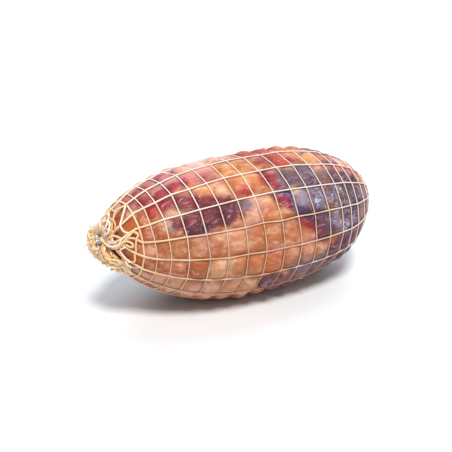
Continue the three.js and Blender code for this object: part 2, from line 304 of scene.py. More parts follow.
# Each patch: ring, cord, half length in rings, half width in cords and tone, and how many degrees it
# is turned, if any.
PATCHES = [
    # the tied end's orange rind and the long pale belly
    (0.5, 3, 2.2, 9, "rust"), (0.8, 3.4, 1.1, 2.6, "burnt"),
    (4.7, 4.4, 1.5, 0.45, "rust"), (6.5, 4.5, 0.6, 0.45, "cream", 10),
    (4.2, 5.6, 1.2, 0.6, "cream"), (6.4, 5.8, 1.8, 0.5, "pale"),
    (8, 5.6, 1, 0.5, "cream"), (8.8, 4.4, 1.2, 0.4, "orange"),
    (7.5, 3.4, 0.7, 0.3, "cream"), (7.3, 3.2, 0.4, 0.2, "orange"),
    (2.9, 5.9, 0.9, 0.6, "pale"),
    # red lean over the shoulder of the tied end, under a painted highlight along the top edge
    (4.6, 0.3, 1.9, 0.9, "rose"), (6.4, -1, 4.4, 0.9, "rim"),
    (4.6, -0.45, 1.9, 0.4, "rose"), (3.6, -0.4, 0.5, 0.2, "crimson"),
    (4.9, 1.1, 1.6, 0.75, "crimson"), (3.5, 0.7, 0.5, 0.4, "crimson"),
    (3.5, 1.45, 0.45, 0.3, "red"), (6.6, 0.6, 1.3, 0.5, "rose"),
    (5.6, 0.65, 0.5, 0.3, "crimson"), (7.2, 0.1, 1.2, 0.3, "pale"),
    # plum lean below it
    (6.2, 2.1, 2.2, 0.75, "plum", 4), (4.5, 2.4, 0.5, 0.4, "violet"),
    (4.1, 2.15, 0.3, 0.12, "pale"), (4.8, 2.3, 0.5, 0.45, "plum"),
    (5.7, 2.75, 0.9, 0.25, "wine"), (6.9, 2.3, 0.8, 0.35, "wine"),
    (8.5, 2.4, 0.6, 0.5, "pale"), (8.2, 2.2, 0.35, 0.2, "violet"),
    (4.4, 1.85, 0.4, 0.15, "cream"),
    # fat along the middle
    (5.7, 0.98, 0.35, 0.12, "cream"), (6.5, 1.2, 0.6, 0.22, "cream", 20),
    (7.1, 1.3, 0.6, 0.2, "yellow", 20), (7.6, 1.15, 0.5, 0.22, "orange"),
    (7.5, 1.5, 0.5, 0.12, "cream", 10), (9.1, 1.4, 1.1, 0.6, "orange"),
    (8.6, 1.75, 0.5, 0.2, "red"), (9.3, 1.1, 0.8, 0.3, "yellow"),
    (8.7, 0.6, 0.8, 0.28, "yellow", -12), (9.7, 0.6, 0.5, 0.2, "orange", -12),
    (9.8, 1.3, 0.3, 0.4, "red"), (9.6, 2.2, 0.6, 0.25, "cream"),
    (9.6, 2.7, 0.6, 0.3, "orange"),
    # red and brown lean past the middle
    (11.4, 0.35, 1.3, 0.35, "red", -10), (10.8, 0.55, 0.6, 0.2, "crimson"),
    (10.5, 1.4, 0.6, 0.5, "crimson"), (13, 0.6, 0.8, 0.25, "yellow", 15),
    (13.6, 0.3, 1.2, 0.35, "orange", 10), (12, 1.3, 1.2, 0.4, "brown"),
    (13.6, 1.1, 0.5, 0.3, "red"), (14.7, 1.5, 1, 0.6, "mauve"),
    (15.2, 1.3, 0.5, 0.2, "orange"), (11.2, -0.4, 1.6, 0.6, "red"),
    (12.6, -0.2, 0.8, 0.3, "orange", 10), (14.8, -0.3, 1.3, 0.7, "brown"),
    (15, 0.4, 0.8, 0.3, "red"), (10.6, 1.2, 0.3, 0.15, "rose"),
    (10.8, 1.75, 0.3, 0.25, "violet"), (11.5, 0.6, 0.7, 0.4, "red"),
    (12.4, 0.7, 0.4, 0.25, "crimson"), (12.8, 0.5, 0.35, 0.2, "yellow"),
    (12.2, 1.15, 0.35, 0.15, "pale"), (12.6, 1.5, 0.4, 0.3, "maroon"),
    (13.6, 0.7, 0.5, 0.25, "yellow", 10), (13.3, 0.35, 0.25, 0.12, "maroon"),
    (13.5, 1.2, 0.4, 0.2, "pale"), (14.5, 0.55, 0.5, 0.3, "orange"),
    (14.7, 0.9, 0.4, 0.14, "ink"), (14.4, 1.15, 0.35, 0.2, "orange"),
    (14.5, 1.6, 0.4, 0.35, "maroon"),
    # the blunt end
    (17.6, 4, 2.6, 8.5, "mauve"), (15.2, 4.9, 2.2, 0.9, "maroon"),
    (17.5, 1.5, 1.2, 1.5, "brown"), (18.3, 3.2, 0.7, 1.2, "brown", 10),
    (15.5, 0.5, 0.35, 0.35, "rose"), (15.8, 0.75, 0.25, 0.3, "maroon"),
    (15.4, 1.2, 0.35, 0.25, "orange"), (15.5, 1.65, 0.35, 0.3, "ink"),
    (16.7, 0.5, 0.6, 0.4, "pale"), (16.4, 1.3, 0.35, 0.4, "rose"),
    (16.5, 1.75, 0.35, 0.3, "maroon"), (17.5, 1.4, 0.5, 0.4, "orange"),
    (17.2, 2.6, 0.6, 0.5, "violet"), (18.9, 0.6, 0.8, 1.6, "pale"),
    (18.6, 13.4, 1.3, 1.6, "orange"), (17.4, 12.2, 1.1, 0.6, "cream", 20),
    (18.4, 9.6, 1.1, 1.4, "maroon", -15), (17.3, 10.6, 0.8, 0.6, "plum"),
    (18.7, 6.8, 0.9, 0.7, "cream", 15),
    # violet and maroon lean round the mould
    (12, 3.1, 1.6, 0.5, "ink", 28), (12.7, 3.6, 0.9, 0.5, "maroon", 20),
    (11.6, 3.45, 1, 0.14, "crimson", 38), (10.4, 2.2, 0.35, 0.35, "maroon", 40),
    (15.3, 3.3, 0.5, 0.4, "maroon"), (12, 2, 0.9, 1, "mauve"),
    (10.75, 2.42, 0.85, 0.3, "indigo", 48), (10.42, 2.48, 0.95, 0.2, "scarlet", 48),
    (11.55, 2.3, 0.5, 0.42, "slate"), (11.6, 2.86, 0.45, 0.14, "ink"),
    (13.6, 2.4, 0.4, 0.35, "ink"),
    # the underside's maroon lean
    (9.6, 5.45, 0.7, 0.4, "maroon"), (10.6, 5.3, 0.6, 0.25, "maroon"),
    (12, 5.2, 1.6, 0.4, "violet", 8), (12, 4.78, 1.6, 0.1, "violet", 4),
    (12.5, 6, 2.8, 0.6, "mauve"),
]

# Each spot of mould in the same way, with its strength.
MOULD = [
    (11.5, 2.35, 0.55, 0.5, 0.2), (12.7, 2.3, 0.75, 0.75, 0.9),
    (13.8, 2.8, 1.2, 0.9, 0.8), (14.3, 3.4, 1, 0.6, 0.85),
    (11.9, 1.5, 1.2, 0.5, 0.28), (13.6, 1.7, 0.9, 0.5, 0.3),
    (15.6, 2.6, 0.8, 0.6, 0.5), (10.8, 2.7, 0.25, 0.2, 0.5),
]

FAT_TONES = {"rind", "rust", "burnt", "orange", "cream", "pale", "rim", "yellow", "slate"}
PATCH_EDGE = 2.4 * MM
FAT_EDGE = 2.6
MOULD_EDGE = 1.5
EDGE_CHANGE = 0.6
EDGE_LUMPS = 22 * MM
FRAYING = 5 * MM
FRAY_LUMPS = 6 * MM
LEAST_FRAYING = 0.3
PUSH = 17 * MM
PUSH_LUMPS = 19 * MM
MIDDLE_MESH = 29 * MM
RING_LENGTH = 20 * MM
HALF_ROUND = CORDS_ALONG / 2


def raggedness(half_rings, half_cords):
    """How much a patch's edges are pushed about and frayed, from 0 to 1: small patches less."""
    return min(1, half_rings * RING_LENGTH / PUSH_LUMPS, half_cords * MIDDLE_MESH / PUSH_LUMPS)


def patch_reach(arc, cord, push, ring, at_cord, half_rings, half_cords, turn=0):
    """About how far each place is outside a patch's pushed edge, below 0 inside it."""
    ragged = raggedness(half_rings, half_cords)
    along = arc + ragged * push[0] - arc_of(ring)
    cord = cord + ragged * push[1] / MIDDLE_MESH
    around = ((cord - at_cord + HALF_ROUND) % CORDS_ALONG - HALF_ROUND) * MIDDLE_MESH
    angle = math.radians(turn)
    across = along * math.cos(angle) + around * math.sin(angle)
    down = around * math.cos(angle) - along * math.sin(angle)
    half_long, half_wide = half_rings * RING_LENGTH, half_cords * MIDDLE_MESH
    return (np.hypot(across / half_long, down / half_wide) - 1) * min(half_long, half_wide)


def both_sides(patches):
    """The patches as placed, after the same patches turned round to the hidden side."""
    hidden = [
        (LAST_RING - ring, cord + HALF_ROUND, half_rings, half_cords, *rest)
        for ring, cord, half_rings, half_cords, *rest in patches
        if cord + half_cords < HALF_ROUND
    ]
    return hidden + patches


def paint_meat(arc, cord, places):
    """The tone, the mould and the lean of every place on the skin."""
    push = [rough_noise(places, PUSH_LUMPS, seed, 4) * PUSH for seed in (21, 31)]
    softness = PATCH_EDGE * (1 + EDGE_CHANGE * noise(places, EDGE_LUMPS, 41))
    fraying = FRAYING * rough_noise(places, FRAY_LUMPS, 51, 3)
    color = np.broadcast_to(srgb(TONES["rind"]), (*arc.shape, 3))
    lean = np.zeros(arc.shape)
    for ring, at_cord, half_rings, half_cords, tone, *turn in both_sides(PATCHES):
        reach = patch_reach(arc, cord, push, ring, at_cord, half_rings, half_cords, *turn)
        frayed = lerp(LEAST_FRAYING, 1, raggedness(half_rings, half_cords)) * fraying
        edge = softness * (FAT_EDGE if tone in FAT_TONES else 1)
        share = smoothstep(1, -1, (reach + frayed) / edge)
        color = lerp(color, np.array(srgb(TONES[tone])), share[..., None])
        lean = lerp(lean, float(tone not in FAT_TONES), share)
    mould = np.zeros(arc.shape)
    edge = MOULD_EDGE * PATCH_EDGE
    for *spot, strength in both_sides(MOULD):
        share = smoothstep(edge, -edge, patch_reach(arc, cord, push, *spot))
        mould = np.maximum(mould, strength * share)
    return color, mould, lean


# ---- The meat

CLUSTERING = 0.1
CAP_STATIONS = 6
GROOVE_POWER = 1.6
MOULD_RIPPLE = 2
LEAN_RIPPLE = 2.6
UNDULATION_LUMPS = 13 * MM
RIPPLE_LUMPS = 4 * MM


def clustered_shares(count):
    """Shares from 0 to just under 1, closer together at both ends."""
    t = np.arange(count) / count
    return t - CLUSTERING * np.sin(2 * np.pi * t)


def station_arcs():
    """Arc lengths of the mesh's rows, closest by the rings and past them towards the poles."""
    arcs = [np.linspace(0, RINGS[0], CAP_STATIONS, endpoint=False)[1:]]
    for low, high in itertools.pairwise(RINGS):
        count = max(CAP_STATIONS, round((high - low) / STATION_STEP))
        arcs.append(lerp(low, high, clustered_shares(count)))
    arcs.append(np.linspace(RINGS[-1], FULL_ARC, CAP_STATIONS)[:-1])
    return np.concatenate(arcs)


def groove_edge(distance):
    """0 in the bottom of a groove, rising to 1 on the open meat."""
    return 1 - np.exp(-((distance / GROOVE_REACH) ** GROOVE_POWER))


def meat_points(arc, cord, lumps):
    """The meat: drawn in along the straight cords, bulging through each mesh."""
    ring = np.clip(np.searchsorted(RINGS, arc, "right") - 1, 0, LAST_RING - 1)
    share = np.clip((arc - RINGS[ring]) / (RINGS[ring + 1] - RINGS[ring]), 0, 1)
    near = np.floor(cord).astype(int)
    across = cord - near
    crossings = skin_point(RINGS[:, None], np.arange(CORDS_ALONG + 1), -GROOVE_DEPTH)
    here, there = (
        lerp(crossings[at, near], crossings[at, near + 1], across[..., None]) for at in (ring, ring + 1)
    )
    drawn_in = lerp(here, there, share[..., None])
    cap = (arc < RINGS[0]) | (arc > RINGS[-1])
    drawn_in = np.where(cap[..., None], skin_point(arc, cord, -GROOVE_DEPTH), drawn_in)
    to_ring = np.sin(np.pi * share) / np.pi * (RINGS[ring + 1] - RINGS[ring])
    to_cord = np.sin(np.pi * across) / np.pi * mesh_width(arc)
    openness = groove_edge(to_ring) * groove_edge(to_cord)
    fullness = np.clip((mesh_width(arc) - TIGHT_MESH) / (FULL_MESH - TIGHT_MESH), 0, 1)
    swell = 1 + BULGE_SPREAD * rng.uniform(-1, 1, (LAST_RING, CORDS_ALONG))[ring, near]
    bulging = skin_point(arc, cord, BULGE * swell + lumps)
    share = np.where(cap, 0, openness * fullness)
    return lerp(drawn_in, bulging, share[..., None]), openness


def make_ham(material):
    shares = clustered_shares(COLUMNS_PER_CORD)
    cords = (np.arange(CORDS_ALONG)[:, None] + shares).ravel()
    arc, cord = np.meshgrid(station_arcs(), cords, indexing="ij")
    places = skin_point(arc, cord, 0)
    color, mould, lean = paint_meat(arc, cord, places)
    ripple = RIPPLE * (1 + MOULD_RIPPLE * mould + LEAN_RIPPLE * lean)
    lumps = UNDULATION * noise(places, UNDULATION_LUMPS, 3)
    lumps = lumps + ripple * rough_noise(places, RIPPLE_LUMPS, 5, 2)
    points, openness = meat_points(arc, cord, lumps)
    poles = skin_point(np.array([0, FULL_ARC]), 0, -GROOVE_DEPTH)
    rows, columns = arc.shape
    faces = grid_faces(rows, columns)
    tied, blunt = rows * columns, rows * columns + 1
    last = (rows - 1) * columns
    for c in range(columns):
        beside = (c + 1) % columns
        faces.append([tied, beside, c])
        faces.append([blunt, last + c, last + beside])
    obj = add_mesh("ham_meat", np.concatenate([points.reshape(-1, 3), poles]), faces)
    ends = np.array([srgb(TONES["rust"]), srgb(TONES["mauve"])])
    store_colors(obj, "paint", np.concatenate([color.reshape(-1, 3), ends]))
    masks = np.stack([mould, openness, lean], -1).reshape(-1, 3)
    store_colors(obj, "masks", np.concatenate([masks, np.zeros((2, 3))]))
    finish_piece(obj, material, "ham")


# ---- The net's cords: knitted tubes

def resample(step, path, *others):
    """A path in even steps, with what else is known along it: lengths first, then each of them."""
    length = np.concatenate(([0], np.cumsum(np.linalg.norm(np.diff(path, axis=0), axis=1))))
    at = np.linspace(0, length[-1], max(3, round(length[-1] / step) + 1))
    even = [
        np.stack([np.interp(at, length, column) for column in np.transpose(values)], -1)
        for values in (path, *others)
    ]
    return at, *even


def unit(vectors):
    return vectors / np.maximum(np.linalg.norm(vectors, axis=-1, keepdims=True), TINY)


# How far the stitches stand up, how deep the seam between them is, and how thin a cut tip is.
STITCH_HEIGHT = 0.26
STITCH_MEAN = 0.62
STITCH_SLANT = 0.55
SEAM_DEPTH = 0.12
SEAM_WIDTH = 0.35
TIP_GIRTH = 0.35


def knitted_tube(path, outward, size, step, closed, knit=1, phase=0, girth=1):
    """Points and faces of a flattened tube with a chain of knitted stitches on it."""
    girths = np.broadcast_to(girth, len(path))[:, None]
    at, points, out, girth = resample(step, path, outward, girths)
    if closed:
        points, at, out, girth = points[:-1], at[:-1], out[:-1], girth[:-1]
        tangent = unit(np.roll(points, -1, 0) - np.roll(points, 1, 0))
    else:
        tangent = unit(np.gradient(points, axis=0))
    side = unit(np.cross(tangent, out))
    out = np.cross(side, tangent)
    angle = 2 * np.pi * np.arange(CORD_SIDES) / CORD_SIDES
    lateral = np.sin(angle)
    along = at[:, None] / KNIT_PITCH + phase - STITCH_SLANT * np.abs(lateral)
    stitch = np.abs(np.sin(np.pi * along))
    seam = np.exp(-((lateral / SEAM_WIDTH) ** 2))
    relief = girth * (1 + knit * (STITCH_HEIGHT * (stitch - STITCH_MEAN) - SEAM_DEPTH * seam))
    if not closed:
        relief[0] *= TIP_GIRTH
        relief[-1] *= TIP_GIRTH
    width, height = size
    offset = (
        side[:, None] * (lateral * width * relief)[..., None]
        + out[:, None] * (np.cos(angle) * height * relief)[..., None]
    )
    vertices = (points[:, None] + offset).reshape(-1, 3)
    return vertices, tube_faces(len(points), CORD_SIDES, closed)


def outward_at(arc, cord):
    return unit(skin_point(arc, cord, 2 * MM) - skin_point(arc, cord, 0))


SPAN_STEPS = 16
EASED_STEPS = 4


def rounded_path(corners, closed):
    """Straight spans between the crossings, eased round each of them."""
    if closed:
        corners = np.concatenate([corners, corners[:1]])
    place = np.arange((len(corners) - 1) * SPAN_STEPS + 1) / SPAN_STEPS
    path = np.stack([np.interp(place, np.arange(len(corners)), column) for column in corners.T], -1)
    if closed:
        before, after = path[-EASED_STEPS - 1 : -1], path[1 : EASED_STEPS + 1]
    else:
        before, after = (np.repeat(end, EASED_STEPS, 0) for end in (path[:1], path[-1:]))
    longer = np.concatenate([before, path, after])
    window = np.ones(2 * EASED_STEPS + 1) / (2 * EASED_STEPS + 1)
    return np.stack([np.convolve(column, window, "valid") for column in longer.T], -1)


def make_net_piece(name, tubes, tints, material):
    """One piece of the net from many tubes, each with its own tint."""
    points, faces, colors, start = [], [], [], 0
    for (vertices, quads), tint in zip(tubes, tints):
        points.append(vertices)
        faces.extend([[start + v for v in face] for face in quads])
        colors.append(np.broadcast_to(tint, (len(vertices), 3)))
        start += len(vertices)
    obj = add_mesh(name, np.concatenate(points), faces)
    store_colors(obj, "tint", np.concatenate(colors))
    finish_piece(obj, material, "net")


CROSSING_DRIFT = 0.5 * MM


def crossing_places():
    """Where each cord crosses each ring, pushed a little out of the even net."""
    ring, cord = np.meshgrid(np.arange(LAST_RING + 1), np.arange(CORDS_ALONG), indexing="ij")
    arc = RINGS[ring] + rng.normal(0, CROSSING_DRIFT, ring.shape)
    width = np.maximum(mesh_width(arc), TIGHT_MESH)
    return arc, cord + rng.normal(0, CROSSING_DRIFT, ring.shape) / width


# Where the slack cords of the tied end lie: arc length in mm, cord number, lift in mm. Each route
# starts at the neck and ends on ring 2, where the net is tight again.
TIED_ROUTES = {
    1: [(3, 2.2, 3), (12, 2.9, 4), (22, 2.9, 4.5), (18, 2.7, 4), (18.5, 2, 3), (24, 1.5, 2),
        (34, 1.25, 1)],
    2: [(4, 3.2, 2), (14, 3.1, 5), (27, 2.6, 4.5), (34, 2.3, 3), (41, 2.1, 1)],
    3: [(4, 3.4, 3), (18, 3.3, 3.5), (26, 3, 3), (31, 2.7, 3), (36, 2.6, 2.5), (41, 2.7, 2),
        (44.5, 2.9, 1)],
    4: [(3, 3.6, 2), (16, 3.2, 3), (26, 3.1, 3), (32.5, 3.5, 2), (38.5, 3.75, 1)],
    5: [(3, 4.2, 1), (18, 3.7, 3), (23.5, 4.3, 2), (30.5, 4.6, 1), (38, 4.8, 0)],
}

# Doubled cords and loose loops that lie over them.
TIED_LOOPS = [
    [(48, 0.1, 0), (38.5, 0, 2), (33, 0.1, 3), (28, 0.4, 3), (23.5, 0.8, 3), (18, 1.5, 3), (6, 2.2, 3)],
    [(34, -0.9, 1), (27, -0.6, 3), (25.5, 0.1, 4), (27.5, 0.9, 5), (24, 1.5, 4), (14, 2.1, 4),
     (3, 2.6, 3)],
    [(47, 0, 0), (40, 0.5, 1), (34, 1, 2), (31, 1.4, 4), (31, 1.8, 4), (33, 2.1, 4), (36, 2.2, 2)],
    [(31, 2.5, 3), (38, 2.2, 3), (43, 2.3, 3.5), (44.5, 2.5, 3.5), (42, 2.7, 3), (39.5, 3.2, 1.5),
     (39, 3.7, 0)],
    [(28, 2.9, 4), (33, 2.8, 4.5), (37.5, 3, 4), (36.5, 3.25, 3.5), (33, 3.2, 3.5), (30, 3.05, 3)],
    [(37.5, 3.8, 0.5), (38.5, 4.1, 2), (38.5, 4.4, 2.5), (35.5, 4.7, 0.5)],
    [(35.5, 4.7, 1), (32, 4.6, 2), (27, 4.2, 3), (24.5, 3.8, 3.5), (26, 3.5, 4), (30, 3.3, 3)],
    [(2, 2.8, 5), (12, 3.5, 6), (19, 3.4, 5), (24, 3.1, 5), (28, 2.6, 5), (32, 2.4, 4)],
    [(44, 2, 0.5), (37, 2.35, 3), (30, 2.75, 5), (24, 3.2, 5), (17, 3.8, 4), (8, 4.6, 3)],
]

# Slack rings round the hidden side of the tied end: arc length and lift in mm, the cords that they
# pass, how far they wave and drift along the ham in mm, and how far the wave turns from cord to cord.
SLACK_RINGS = ((34, 0.3), (22, 1.2))
SLACK_RING_CORDS = np.linspace(5, 16.4, 60)
SLACK_RING_WAVE = 2.2
SLACK_RING_DRIFT = 0.5
SLACK_RING_TURN = 2.1
SLACK_RING_STEPS = 200

LOOP_STEPS = 90


def smooth_route(places, count=LOOP_STEPS):
    """A smooth path through given points (Catmull-Rom)."""
    p = np.array(places, float)
    p = np.concatenate([[2 * p[0] - p[1]], p, [2 * p[-1] - p[-2]]])
    t = np.linspace(0, len(p) - 3, count, endpoint=False)
    k = np.floor(t).astype(int)
    f = (t - k)[:, None]
    a, b, c, d = p[k], p[k + 1], p[k + 2], p[k + 3]
    bend = 2 * a - 5 * b + 4 * c - d
    twist = 3 * b - a - 3 * c + d
    curve = 0.5 * (2 * b + (c - a) * f + bend * f**2 + twist * f**3)
    return np.concatenate([curve, p[-2:-1]])


def on_skin(route, side):
    """Points of a route of arc (mm), cord and lift (mm), measured from the pole at that side."""
    route = np.array(route, float)
    arc = route[:, 0] * MM
    return skin_point(arc if side < 0 else FULL_ARC - arc, route[:, 1], route[:, 2] * MM)


def neck_point(side, out, radius, degrees):
    """A point by an end's neck: how far out along X, at what radius, and round which way."""
    angle = np.radians(degrees)
    height = axis_height(side * HALF_LENGTH) + radius * np.sin(angle)
    return np.array([side * out, radius * np.cos(angle), height]) + ORIGIN


def away_from_axis(path):
    """Directions that point from the ham's axis to each point of a path."""
    x = np.clip(path[:, 0] - ORIGIN[0], -AXIS_REACH, AXIS_REACH)
    centre = np.stack([x, 0 * x, axis_height(x)], -1) + ORIGIN
    return unit(path - centre + TINY)


def slack_route(cord):
    """A wavering way from the neck to ring 2 for a cord that the photo hides."""
    sway = rng.uniform(-0.9, 0.9, 3)
    lift = rng.uniform(0.5, 3.5, 3)
    return [(3, cord + sway[0], lift[0]), (13, cord + 0.8 * sway[1], lift[1]),
            (24, cord + 0.5 * sway[2], lift[2]), (34, cord, 0.5)]


def make_cords(arcs, cords, material):
    tubes = []
    for c in range(CORDS_ALONG):
        inner = on_skin(TIED_ROUTES.get(c) or slack_route(c), -1)
        crossings = skin_point(arcs[FIRST_TIGHT_RING:, c], cords[FIRST_TIGHT_RING:, c], CORD_SINK)
        tight = rounded_path(crossings, closed=False)
        start = smooth_route(np.concatenate([inner, tight[:1]]))
        path = np.concatenate([start[:-1], tight])
        share = smoothstep(*STRETCHED_FROM_TO, path[:, 0] - ORIGIN[0])
        girth = lerp(1, STRETCHED_GIRTH, share)
        phase = rng.random()
        out = away_from_axis(path)
        tubes.append(knitted_tube(path, out, CORD_SIZE, CORD_STEP, False, phase=phase, girth=girth))
    make_net_piece("net_cords", tubes, [srgb(CORD_TINT)] * len(tubes), material)


def make_rings(arcs, cords, material):
    tubes, tints = [], []
    for k in range(FIRST_TIGHT_RING, LAST_RING):
        path = rounded_path(skin_point(arcs[k], cords[k], RING_SINK), closed=True)
        out = outward_at(RINGS[k], np.linspace(0, CORDS_ALONG, len(path)))
        first = k == FIRST_TIGHT_RING
        size = FIRST_RING_SIZE if first else RING_SIZE
        tubes.append(knitted_tube(path, out, size, RING_STEP, True, RING_KNIT, rng.random()))
        tint = WHITE_RING_TINT if k in WHITE_RINGS else RING_TINT
        tints.append(srgb(FIRST_RING_TINT if first else tint))
    around = SLACK_RING_CORDS
    for arc, lift in SLACK_RINGS:
        wave = SLACK_RING_WAVE * np.sin(around * SLACK_RING_TURN + arc)
        wander = arc + wave + rng.normal(0, SLACK_RING_DRIFT, around.shape)
        path = on_skin(np.stack([wander, around, np.full(around.shape, lift)], -1), -1)
        path = smooth_route(path[::3], SLACK_RING_STEPS)
        tubes.append(knitted_tube(path, away_from_axis(path), RING_SIZE, RING_STEP, False, RING_KNIT))
        tints.append(srgb(RING_TINT))
    make_net_piece("net_rings", tubes, tints, material)


# ---- The gathered ends: doubled cords, cut ends, frizz and the loose thread

YARN_TINTS = ["f6e2c8", "fff6ea", "dc9c50", "eec07c", "fffaf4", "f2d4a4"]
LOOP_SIZE = (1.05 * MM, 0.95 * MM)
SKIRT_SIZE = (1.25 * MM, 1.1 * MM)
CUT_END_SIZE = (1.0 * MM, 0.95 * MM)
CUT_KNIT = 0.5
NECK_STRANDS = 18
STRAY_SHARE = 0.15
STRAY_REACH = 1.35

# How many waves crimped yarn has, and how deep they are.
SKIRT_CRIMPS = (2.5, 1.7 * MM)
CUT_END_CRIMPS = (2, 1.2 * MM)

FRIZZ_RADIUS = 0.26 * MM
FRIZZ_STEPS, FRIZZ_SIDES = 18, 3
FRIZZ_BENDS = 6
FRIZZ_TINT = "faeedc"
THREAD_RADIUS = 0.5 * MM
THREAD_STEPS, THREAD_SIDES = 30, 6
THREAD_TINT = "1c1814"
THREAD_REACH = (-20.5 * MM, -5 * MM, -5 * MM)
THREAD_ARCH = (0, 0, 2 * MM)
FIBRE_TIP = 0.55
STRAND_STEPS = 40
CUT_END_STEPS = 70
TIED_NECK = {"side": -1, "clip": 168.5 * MM, "tip": 178 * MM, "loops": 12, "cut_ends": 46,
             "flare": (7 * MM, 18 * MM), "frizz": 300, "skirt": 28}
BLUNT_NECK = {"side": 1, "clip": 162 * MM, "tip": 170 * MM, "loops": 6, "cut_ends": 14,
              "flare": (4 * MM, 10 * MM), "frizz": 60, "skirt": 0}
BLUNT_LOOP_SHARE = 0.6

# Where round the neck the cut ends part and leave the clip in view, and how widely, in degrees.
PARTING = 155
PARTING_WIDTH = 75

# A direction that no strand runs along, to set off its sides from.
ASKEW = (0.31, 0.52, 0.79)


def pick_tint():
    return srgb(YARN_TINTS[rng.integers(len(YARN_TINTS))])


def random_loop(side, cord):
    """A slack loop of net over the gathered end: out from the neck and back to it."""
    reach, spread, lift = rng.uniform(16, 30), rng.uniform(0.7, 1.5), rng.uniform(2.5, 5.5)
    if side > 0:
        reach *= BLUNT_LOOP_SHARE
    route = [(2, cord, 1), (9, cord - 0.5 * spread, lift), (0.7 * reach, cord - 0.9 * spread, lift),
             (reach, cord, 0.7 * lift), (0.7 * reach, cord + 0.9 * spread, lift),
             (9, cord + 0.6 * spread, lift), (2, cord + 0.3, 1)]
    return on_skin(route, side)


def skirt_strand():
    """One wavy strand of the slack net that hangs in a bunch under the tied end."""
    cord, drift = rng.uniform(4.5, 8.3), rng.uniform(-0.2, 0.9)
    reach, lift = rng.uniform(26, 44), rng.uniform(2.5, 12)
    t = np.linspace(0, 1, 8)
    arc = lerp(4, reach, t)
    around = cord + drift * t + rng.uniform(-0.28, 0.28, t.shape) * (1.4 - t)
    raised = lift * np.sin(np.pi * np.clip(t + 0.12, 0, 1)) + rng.uniform(-0.8, 0.8, t.shape)
    return on_skin(np.stack([arc, around, np.maximum(raised, 0.3)], -1), TIED_NECK["side"])


def cut_end(neck, degrees):
    """A cut end of the net beyond the clip: it flares out and curls back towards the ham."""
    side, tip = neck["side"], neck["tip"]
    off_parting = (degrees - PARTING + 180) % 360 - 180
    from_parting = abs(off_parting) / PARTING_WIDTH
    flare = rng.uniform(*neck["flare"]) * min(1, 0.35 + 0.65 * from_parting)
    if rng.random() < STRAY_SHARE:
        flare *= STRAY_REACH
    swing = rng.uniform(0, 35)
    swing *= math.copysign(1, off_parting) if from_parting < 1 else rng.choice((-1, 1))
    back = rng.uniform(0.3, 1.0) * max(0, flare - 4 * MM) * min(1, from_parting)
    foot = neck["clip"] + 5 * MM
    return np.array([
        neck_point(side, foot, 1.8 * MM, degrees),
        neck_point(side, tip - 1 * MM, 3.4 * MM, degrees),
        neck_point(side, tip + rng.uniform(-2, 1) * MM, 0.5 * flare, degrees + 0.3 * swing),
        neck_point(side, tip - 0.45 * back, 0.85 * flare, degrees + 0.7 * swing),
        neck_point(side, tip - back, flare, degrees + swing),
    ])


def crimped(path, crimps, depth):
    """The same path with the waves that slack or cut yarn keeps from the knitting."""
    length = np.arange(len(path)) / len(path) * crimps
    across = unit(rng.normal(0, 1, 3))
    beside = unit(np.cross(across, path[-1] - path[0]))
    sway = np.minimum(length, 1)[:, None] * depth
    turn = (2 * np.pi * (length + rng.random()))[:, None]
    return path + sway * (across * np.sin(turn) + beside * np.cos(turn))


def neck_strand(neck, degrees):
    """One strand of the bunch that runs from the ham's pole through the clip."""
    side, clip = neck["side"], neck["clip"]
    turn = rng.uniform(-30, 30)
    return np.array([
        neck_point(side, clip - 9 * MM, rng.uniform(5, 9) * MM, degrees),
        neck_point(side, clip - 4 * MM, rng.uniform(3, 4.5) * MM, degrees + 0.3 * turn),
        neck_point(side, clip, 2.1 * MM, degrees + 0.6 * turn),
        neck_point(side, clip + 6 * MM, 2.1 * MM, degrees + turn),
        neck_point(side, neck["tip"] - 1 * MM, 2.8 * MM, degrees + turn),
    ])


def frizz_fibre(neck):
    """One curly loose fibre round the neck."""
    degrees = PARTING + rng.uniform(50, 310)
    radius = rng.uniform(0.4, 1.1) * neck["flare"][1]
    out = neck["tip"] - rng.uniform(0.1, 0.8) * radius
    place = neck_point(neck["side"], out, radius, degrees)
    heading = unit(rng.normal(0, 1, 3))
    points = [place]
    for _ in range(FRIZZ_BENDS):
        heading = unit(heading + 0.8 * rng.normal(0, 1, 3))
        place = place + heading * rng.uniform(0.8, 2.0) * MM
        points.append(place)
    return np.array(points)


def tied_thread():
    """The thin loose thread that sticks out beyond the tied end's clip."""
    start = neck_point(TIED_NECK["side"], TIED_NECK["tip"] - 3 * MM, 0, 0)
    end = start + THREAD_REACH
    return np.array([start, lerp(start, end, 0.5) + THREAD_ARCH, end])


def plain_tube(path, radius, count, sides):
    """A thin fibre, without stitches, that thins out towards its tip."""
    points = smooth_route(path, count)
    tangent = unit(np.gradient(points, axis=0))
    side = unit(np.cross(tangent, ASKEW))
    up = np.cross(side, tangent)
    angle = (2 * np.pi * np.arange(sides) / sides)[None, :, None]
    offset = side[:, None] * np.cos(angle) + up[:, None] * np.sin(angle)
    taper = np.linspace(1, FIBRE_TIP, len(points))[:, None, None] * radius
    vertices = (points[:, None] + offset * taper).reshape(-1, 3)
    return vertices, tube_faces(len(points), sides)


def carried_along(path):
    """Directions square to a path that turn round it as little as they can."""
    tangent = unit(np.gradient(path, axis=0))
    square = np.cross(tangent[0], ASKEW)
    directions = []
    for ahead in tangent:
        square = unit(square - ahead * np.dot(square, ahead))
        directions.append(square)
    return np.array(directions)


def knitted_route(path, size, knit=1):
    return knitted_tube(path, carried_along(path), size, CORD_STEP, False, knit, rng.random())


